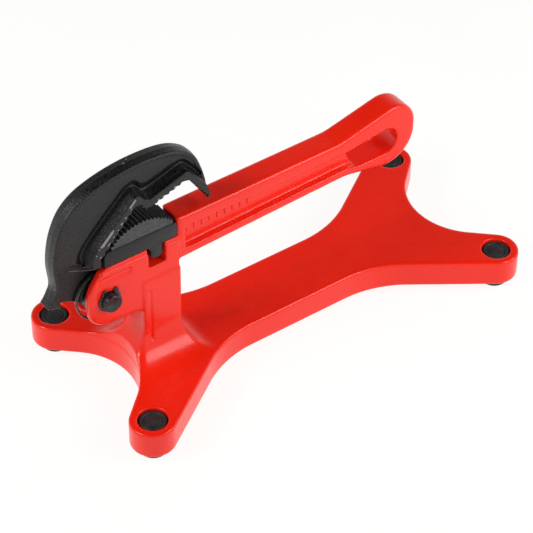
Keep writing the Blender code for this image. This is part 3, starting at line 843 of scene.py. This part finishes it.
def handle_ribs(mat):
    """Plain raised ribs on the near side of the handle's web."""
    corner = 0.8
    for i in range(RIB_COUNT):
        left = RIB_FIRST + RIB_PITCH * i
        right = left + RIB_WIDTH
        corners = [(left, RIB_BOTTOM), (right, RIB_BOTTOM), (right, RIB_TOP), (left, RIB_TOP)]
        outline = rounded([(x, z, corner) for x, z in corners], 20.0)
        low = -HANDLE_WEB_HALF - RIB_RISE
        rib = prism(f"handle_rib_{i}", outline, low, low + 2.0, edge=0.3, segments=2, mat=mat)
        rib.data.shade_smooth()
        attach(rib, "stand")


# ---------------------------------------------------------------- hook jaw

HOOK_OUTER = [
    (-273.6, 140.6),
    (-267.2, 150.4),
    (-263.9, 160.0),
    (-265.7, 183.0),
    (-264.0, 203.0),
    (-258.8, 223.0),
    (-248.8, 242.0),
    (-233.0, 255.6),
    (-211.0, 264.2),
    (-184.0, 269.4),
    (-156.0, 270.3),
    (-133.0, 267.4),
    (-116.5, 260.0),
    (-105.3, 249.5),
    (-98.3, 233.0),
    (-93.9, 217.0),
    (-92.4, 206.0),
]

HOOK_INNER = [
    (-96.5, 207.0),
    (-119.0, 236.0),
    (-163.0, 222.0),
    (-175.5, 233.0),
    (-222.0, 187.0),
    (-221.5, 173.0),
    (-215.0, 164.5),
    (-196.0, 142.0),
    (-211.5, 112.0),
    (-230.5, 121.0),
    (-244.5, 131.6),
    (-254.6, 136.2),
    (-267.4, 138.3),
]

# Pairs of points along the tooth flange: its outer edge, and the far rim of the scoop beside it.
COVE_STATIONS = [
    ((-225.6, 173.5), (-241.0, 175.0)),
    ((-226.0, 184.0), (-241.5, 188.0)),
    ((-218.6, 196.0), (-233.0, 203.0)),
    ((-206.0, 208.8), (-219.0, 219.0)),
    ((-192.0, 222.6), (-201.5, 236.5)),
    ((-183.0, 231.6), (-188.8, 248.5)),
    ((-177.3, 236.4), (-178.5, 254.6)),
    ((-172.4, 236.0), (-171.8, 253.0)),
    ((-167.8, 230.8), (-166.5, 247.0)),
    ((-162.8, 227.2), (-160.6, 245.8)),
    ((-150.0, 229.4), (-147.6, 249.4)),
    ((-135.0, 234.3), (-133.6, 253.6)),
    ((-122.5, 238.6), (-121.5, 254.6)),
    ((-117.6, 238.0), (-114.5, 249.6)),
    ((-110.2, 230.6), (-106.0, 238.8)),
    ((-102.2, 221.0), (-98.6, 226.6)),
]


def hook_web():
    """The C-shaped web: a drafted outer face with its parting ridge, and a rim round the panel."""
    outer = smooth(HOOK_OUTER, 8)
    outline = outer + HOOK_INNER
    lengths = [0.0]
    for a, b in zip(outer, outer[1:]):
        lengths.append(lengths[-1] + math.dist(a, b))
    reach = 12.0
    share = [min(1.0, s / reach, (lengths[-1] - s) / reach) for s in lengths]
    share += [0.0] * len(HOOK_INNER)
    section = [
        (5.2, WEB_PANEL, WEB_PANEL),
        (4.6, WEB_HALF - 0.1, WEB_HALF - 1.3),
        (4.0, WEB_HALF, WEB_HALF - 1.6),
        (2.0, WEB_HALF, WEB_HALF - 2.0),
        (1.2, WEB_HALF - 0.6, WEB_HALF - 3.0),
        (0.75, WEB_HALF - 1.6, WEB_HALF - 4.0),
        (0.2, 0.6, 0.6),
        (0.0, 0.0, 0.0),
    ]
    loops = []
    for side, half in ((-1.0, section), (1.0, section[-2::-1])):
        for inset, rim, plain in half:
            ring = inset_outline(outline, [inset * s for s in share])
            heights = [side * (plain + (rim - plain) * s) for s in share]
            loops.append([(x, w, z) for (x, z), w in zip(ring, heights)])
    return loft("hook_web", loops)


def flange_outline():
    """The toothed flange: plain upper edge, two toothed recesses with a cusp between them."""
    mouth_start = (-217.2, 174.0)
    mouth_end = (-96.2, 197.2)
    upper = rounded(
        [
            (-92.8, 203.0, 5.0),
            (-97.6, 216.0, 25.0),
            (-119.3, 241.6, 4.0),
            (-164.6, 226.2, 5.0),
            (-175.8, 239.0, 4.5),
            (-219.0, 196.6, 35.0),
            (-226.6, 184.0, 14.0),
            (-226.4, 172.4, 2.0),
            (-217.4, 170.6, 2.0),
            (*mouth_start, 0.0),
            (-175.0, 227.4, 0.0),
            (-166.6, 216.4, 0.0),
            (-153.6, 218.8, 0.0),
            (-119.8, 230.6, 0.0),
            (*mouth_end, 0.0),
            (-94.2, 196.6, 1.0),
        ],
        step=8.0,
    )
    mouth = teeth((-217.2, 178.0), (-176.0, 226.6), 8, 2.7, 0.35)
    mouth += teeth((-173.4, 226.4), (-166.6, 216.4), 2, 2.0, 0.6)
    mouth += teeth((-166.6, 216.4), (-153.6, 218.8), 2, 1.4, 0.6)
    mouth += teeth((-153.6, 218.8), (-120.8, 230.4), 5, 2.2, 0.4)
    mouth += teeth((-118.0, 229.8), (-96.4, 199.0), 7, 2.0, 0.6)
    return upper[: upper.index(mouth_start)] + mouth + upper[upper.index(mouth_end) :]


def scoop_stations():
    """Along the flange: edge point, outward direction, reach, crease offset, half width there."""
    for ex, ez, tx, tz in smooth([Vector((*edge, *top)) for edge, top in COVE_STATIONS], 6):
        reach = math.hypot(tx - ex, tz - ez)
        share = min(1.0, reach / SCOOP_FULL_REACH)
        crease = SHELF_RISE * share
        half = WEB_PANEL + (CREASE_HALF - WEB_PANEL) * share
        yield (ex, ez), ((tx - ex) / reach, (tz - ez) / reach), reach, crease, half


def scoop_body(name, profile_of):
    """A loft along the flange of a profile of (outward offset, y) worked out at each station."""
    loops = []
    for (x, z), (dx, dz), reach, crease, half in scoop_stations():
        profile = profile_of(reach, crease, half)
        loops.append([(x + dx * out, y, z + dz * out) for out, y in profile])
    return loft(name, loops)


def flange_root():
    """The flange's drafted outer face, from its near and far edges down to the creases."""

    def profile(_reach, crease, half):
        lip = FLANGE_HALF - 0.7
        side = [(-3.5, lip), (0.0, lip), (crease, half)]
        return side + [(out, -y) for out, y in reversed(side)]

    return scoop_body("flange_root", profile)


def scoop_cutter(name, side):
    """The hollow beside the flange: from its crease the floor rises in an S to the web's panel."""

    def profile(reach, crease, half):
        points = [(-2.0, side * half)]
        steps = 10
        for k in range(steps + 1):
            t = k / steps
            rise = (3.0 - 2.0 * t) * t * t
            out = crease + (reach - crease) * t
            points.append((out, side * (half + (WEB_PANEL + 0.15 - half) * rise)))
        return points + [(reach, side * 20.0), (-2.0, side * 20.0)]

    return scoop_body(name, profile)


def hook_jaw(mat):
    jaw = hook_web()
    scoops = [scoop_cutter("scoop_near", -1.0), scoop_cutter("scoop_far", 1.0)]
    combine(jaw, scoops, "DIFFERENCE")
    recess = rounded(
        [
            (-259.3, 120.0, 0.0),
            (-259.6, 182.6, 7.0),
            (-243.5, 182.6, 12.0),
            (-224.6, HEAD_TOP + 0.6, 0.0),
            (-180.0, HEAD_TOP + 0.6, 0.0),
            (-180.0, 90.0, 0.0),
            (-240.0, 90.0, 0.0),
        ]
    )
    near = prism("leg_recess", recess, -20.0, LEG_FLOOR)
    far = prism("far_relief", recess, HUB_HALF - 0.2, 20.0)
    coil_r = COIL_R + WIRE_R + 1.3
    coil_profile = [(0, -20.0), (coil_r, -20.0), (coil_r, SPRING_FLOOR), (0, SPRING_FLOOR)]
    coil_room = turned("coil_recess", coil_profile, (PIVOT_X, 0, PIVOT_Z), "y", 90)
    core_r = (HUB_R + PIN_R) / 2.0
    core_profile = [(0, -30), (core_r, -30), (core_r, 30), (0, 30)]
    core = turned("core", core_profile, (PIVOT_X, 0, PIVOT_Z), "y", 60)
    combine(jaw, [near, far, coil_room, core], "DIFFERENCE")
    bore_r = PIN_R + 0.1
    hub_profile = [(bore_r, -HUB_HALF), (HUB_R - 0.8, -HUB_HALF), (HUB_R, 0.8 - HUB_HALF)]
    hub_profile += [(HUB_R, HUB_HALF - 0.8), (HUB_R - 0.8, HUB_HALF), (bore_r, HUB_HALF)]
    hub = turned("hub", hub_profile + hub_profile[:1], (PIVOT_X, 0, PIVOT_Z), "y", 72)
    combine(jaw, [hub], "UNION")
    flange = prism("flange", flange_outline(), -FLANGE_HALF, FLANGE_HALF, edge=0.5, segments=1)
    combine(jaw, [flange_root(), flange], "UNION")
    jaw.name = "hook_jaw_forging"
    soften(jaw, JAW_VOXEL, 2, mat)
    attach(jaw, "hook")
    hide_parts("hook_jaw")


# ---------------------------------------------------------------- heel jaw


def heel_jaw(mat):
    """A block with a toothed hump on top and a tongue that hangs in the head's slot."""
    cx, cz = HEEL_TIP_CENTRE
    pitch = (HEEL_LAST_ANGLE - HEEL_FIRST_ANGLE) / HEEL_TEETH
    hump = []
    for i in range(HEEL_TEETH):
        tip = math.radians(HEEL_FIRST_ANGLE + pitch * (i + 0.35))
        valley = math.radians(HEEL_FIRST_ANGLE + pitch * (i + 1.0))
        hump.append((cx + HEEL_TIP_R * math.cos(tip), cz + HEEL_TIP_R * math.sin(tip)))
        low = HEEL_TIP_R - HEEL_TOOTH_DEPTH
        hump.append((cx + low * math.cos(valley), cz + low * math.sin(valley)))
    ridge = [(-206.4, 178.0), (-206.4, 181.5)] + hump[1:-1] + [(-135.2, 184.6), (-135.2, 178.0)]
    block = rounded(
        [
            (-213.0, HEEL_FLOOR, 1.0),
            (-164.5, HEEL_FLOOR, 0.0),
            (-161.5, HEEL_FLOOR - 4.5, 2.0),
            (-161.5, 151.5, 4.5),
            (-148.5, 151.5, 4.5),
            (-148.5, HEEL_FLOOR, 0.0),
            (-131.6, HEEL_FLOOR, 4.5),
            (-131.6, HEEL_SEAM, 3.0),
            (-209.5, HEEL_SEAM, 0.0),
            (-213.0, 180.0, 1.0),
        ],
        step=12.0,
    )
    jaw = prism("heel_jaw_block", block, -HEEL_HALF, HEEL_HALF, edge=0.5, segments=2)
    crown_half = HEEL_HALF - 0.7
    combine(jaw, [prism("crown", ridge, -crown_half, crown_half, edge=0.2, segments=1)], "UNION")
    jaw.data.materials.clear()
    jaw.data.materials.append(mat)
    jaw.data.shade_smooth()
    jaw.data.set_sharp_from_angle(angle=math.radians(28))
    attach(jaw, "stand")
    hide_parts("heel_jaw")


# ---------------------------------------------------------------- pin, circlips, spring, feet


def pivot_pin(mat):
    r = PIN_R
    half = [
        (r, 0.0),
        (r, GROOVE_IN),
        (GROOVE_R, GROOVE_IN),
        (GROOVE_R, GROOVE_OUT),
        (r - 0.2, GROOVE_OUT),
        (r, GROOVE_OUT + 0.2),
        (r, PIN_HALF - 1.1),
        (r - 0.35, PIN_HALF - 0.4),
        (r - 1.1, PIN_HALF),
        (7.6, PIN_HALF),
        (7.3, PIN_HALF - 0.25),
        (3.0, PIN_HALF - 0.3),
        (2.0, PIN_HALF - 0.7),
        (0.0, PIN_HALF - 1.6),
    ]
    profile = [(a, -b) for a, b in reversed(half)] + half[1:]
    pin = turned("pivot_pin_turned", profile, (PIVOT_X, 0, PIVOT_Z), "y", 96, mat)
    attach(pin, "stand")
    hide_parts("pivot_pin")


def circlip(name, side, node, mat):
    """An open ring in the pin's groove, with a drilled lug at each end, lugs up."""
    low = HEAD_HALF + 0.3 if side > 0 else -(HEAD_HALF + 0.3 + CLIP_THICK)
    high = low + CLIP_THICK
    first = CLIP_TURN + CLIP_OPEN_HALF
    last = CLIP_TURN + 360.0 - CLIP_OPEN_HALF
    outer = arc(PIVOT_X, PIVOT_Z, CLIP_OUTER_R, first, last, 90)
    inner = arc(PIVOT_X, PIVOT_Z, CLIP_INNER_R, last, first, 90)
    ring = prism(name, outer + inner, low, high, edge=0.15, segments=2)
    for sign in (-1, 1):
        angle = math.radians(CLIP_TURN + sign * (CLIP_OPEN_HALF + 3.0))
        x = PIVOT_X + CLIP_LUG_AT * math.cos(angle)
        z = PIVOT_Z + CLIP_LUG_AT * math.sin(angle)
        lug = prism("lug", arc(x, z, CLIP_LUG_R, 0, 352.5, 47), low, high, edge=0.15)
        combine(ring, [lug], "UNION")
        hole = prism("lug_hole", arc(x, z, CLIP_HOLE_R, 0, 345, 23), low - 1.0, high + 1.0)
        combine(ring, [hole], "DIFFERENCE")
    ring.data.materials.clear()
    ring.data.materials.append(mat)
    ring.data.shade_smooth()
    ring.data.set_sharp_from_angle(angle=math.radians(35))
    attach(ring, "stand")
    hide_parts(node)


def spring_path():
    """Leg in the jaw's recess, coil about the pivot, leg against the end of the cheek gap."""
    tip = Vector(LEG_TIP) - Vector((PIVOT_X, PIVOT_Z))
    start = math.atan2(tip.y, tip.x) - math.acos(COIL_R / tip.length)
    steps = round(COIL_TURNS * 90)
    coil = []
    for i in range(steps + 1):
        a = start - 2.0 * math.pi * COIL_TURNS * i / steps
        y = COIL_NEAR_Y + COIL_PITCH * COIL_TURNS * i / steps
        coil.append((PIVOT_X + COIL_R * math.cos(a), y, PIVOT_Z + COIL_R * math.sin(a)))
    first = (LEG_TIP[0], COIL_NEAR_Y, LEG_TIP[1])
    last = (LEG_END[0], coil[-1][1], LEG_END[1])
    return [first] + coil + [last]


def torsion_spring(mat):
    curve = bpy.data.curves.new("torsion_spring_wire", "CURVE")
    curve.dimensions = "3D"
    curve.bevel_depth = WIRE_R * MM
    curve.bevel_resolution = 3
    curve.use_fill_caps = True
    points = [at(*p) for p in spring_path()]
    spline = curve.splines.new("POLY")
    spline.points.add(len(points) - 1)
    for slot, point in zip(spline.points, points):
        slot.co = (*point, 1.0)
    line = bpy.data.objects.new("torsion_spring_line", curve)
    bpy.context.scene.collection.objects.link(line)
    bpy.context.view_layer.update()
    mesh = bpy.data.meshes.new_from_object(line)
    bpy.data.objects.remove(line, do_unlink=True)
    spring = bpy.data.objects.new("torsion_spring_wire", mesh)
    bpy.context.scene.collection.objects.link(spring)
    mesh.materials.clear()
    mesh.materials.append(mat)
    mesh.shade_smooth()
    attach(spring, "hook")
    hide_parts("torsion_spring")


def rubber_foot(node, mat):
    """A push-in foot: a plug that stands out below the plate, its ringed top sunk in the hole."""
    low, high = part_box(node)
    centre_x = ((low.x + high.x) / 2.0 - ORIGIN_X) / MM
    centre_y = (low.y + high.y) / 2.0 / MM
    top = (high.z - ORIGIN_Z) / MM - 0.8
    r = FOOT_PLUG_R
    snug = FOOT_HOLE_R - 0.3
    profile = [
        (0.0, FLOOR),
        (snug - 1.4, FLOOR),
        (snug - 0.4, FLOOR + 0.4),
        (snug, FLOOR + 1.4),
        (snug, 17.0),
        (r, 19.0),
        (r, top - 1.3),
        (r - 0.4, top - 0.5),
        (r - 1.3, top - 0.1),
        (r - 2.6, top),
        (r - 3.4, top - 0.3),
        (r - 3.9, top - 1.0),
        (r - 4.5, top - 0.9),
        (r - 5.0, top - 0.2),
        (r - 9.0, top + 0.55),
        (r - 11.0, top + 0.75),
        (0.0, top + 0.8),
    ]
    foot = turned(node + "_moulded", profile, (centre_x, centre_y, 0.0), "z", 72, mat)
    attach(foot, "stand")
    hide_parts(node)


# ---------------------------------------------------------------- studio


def floor():
    m = Nodes("floor_white")
    where = m.place()
    tone = m.noise(where, 3.0, 2.0)
    colour = m.ramp(tone, [(0.3, (0.11, 0.11, 0.108)), (0.7, (0.13, 0.13, 0.128))])
    m.finish(
        colour,
        Roughness=0.9,
        Specular_IOR_Level=0.1,
        Emission_Color=(1.0, 1.0, 0.985, 1.0),
        Emission_Strength=FLOOR_GLOW,
    )
    disc = new_object(
        "floor",
        lambda bm: bmesh.ops.create_circle(bm, cap_ends=True, segments=96, radius=9.0),
        m.mat,
    )
    disc.location = (0.0, 0.0, -0.0002)


def world():
    """Pale near the horizon and dim overhead, so that level black faces stay dark."""
    made = bpy.data.worlds.new("studio")
    bpy.context.scene.world = made
    made.use_nodes = True
    tree = made.node_tree
    background = tree.nodes["Background"]
    coordinates = tree.nodes.new("ShaderNodeTexCoord")
    split = tree.nodes.new("ShaderNodeSeparateXYZ")
    ramp = tree.nodes.new("ShaderNodeValToRGB")
    tree.links.new(coordinates.outputs["Generated"], split.inputs[0])
    tree.links.new(split.outputs["Z"], ramp.inputs["Fac"])
    tree.links.new(ramp.outputs["Color"], background.inputs["Color"])
    first, last = ramp.color_ramp.elements
    first.position = 0.1
    first.color = HORIZON
    last.position = 0.72
    last.color = OVERHEAD
    background.inputs["Strength"].default_value = 1.0


def softbox(name, direction, size, watts):
    light = bpy.data.lights.new(name, "AREA")
    light.shape = "RECTANGLE"
    light.size, light.size_y = size
    light.energy = watts
    lamp = bpy.data.objects.new(name, light)
    bpy.context.scene.collection.objects.link(lamp)
    back = Vector(direction).normalized()
    lamp.location = LIGHT_TARGET + back * LIGHT_DISTANCE
    lamp.rotation_euler = back.to_track_quat("Z", "Y").to_euler()


def studio():
    floor()
    world()
    softbox("key_front_right", (0.50, -0.64, 0.58), (1.3, 0.9), 20.0)
    softbox("left", (-0.77, 0.11, 0.63), (0.7, 0.5), 15.0)


def camera():
    """The camera looks down on the near left corner, through a long lens."""
    azimuth = math.radians(CAMERA_AZIMUTH)
    elevation = math.radians(CAMERA_ELEVATION)
    roll = math.radians(CAMERA_ROLL)
    back = Vector(
        (
            math.sin(azimuth) * math.cos(elevation),
            -math.cos(azimuth) * math.cos(elevation),
            math.sin(elevation),
        )
    )
    right = Vector((0.0, 0.0, 1.0)).cross(back).normalized()
    up = back.cross(right)
    axis_x = math.cos(roll) * right + math.sin(roll) * up
    axis_y = -math.sin(roll) * right + math.cos(roll) * up
    data = bpy.data.cameras.new("camera")
    data.sensor_width = 36.0
    data.lens = CAMERA_LENS
    data.clip_start = 0.05
    data.clip_end = 50.0
    cam = bpy.data.objects.new("camera", data)
    bpy.context.scene.collection.objects.link(cam)
    turn = Matrix((axis_x, axis_y, back)).transposed().to_4x4()
    cam.matrix_world = Matrix.Translation(at(*CAMERA_AIM) + back * CAMERA_DISTANCE) @ turn
    bpy.context.scene.camera = cam
    bpy.context.scene.view_settings.view_transform = "Standard"


def build():
    camera()
    studio()
    enamel = red_enamel()
    hardened = hardened_steel()
    pin_steel = turned_steel()
    spring = spring_steel()
    rubber = black_rubber()
    casting(enamel)
    handle_ribs(enamel)
    hook_jaw(forged_steel())
    heel_jaw(hardened)
    frame["nodes"]["heel_jaw_pin"].data.materials.clear()
    frame["nodes"]["heel_jaw_pin"].data.materials.append(pin_steel)
    pivot_pin(pin_steel)
    circlip("circlip_near_ring", -1, "circlip_near", spring)
    circlip("circlip_far_ring", 1, "circlip_far", spring)
    torsion_spring(spring)
    for node in ("foot_jaw_near", "foot_jaw_far", "foot_handle_near", "foot_handle_far"):
        rubber_foot(node, rubber)


build()
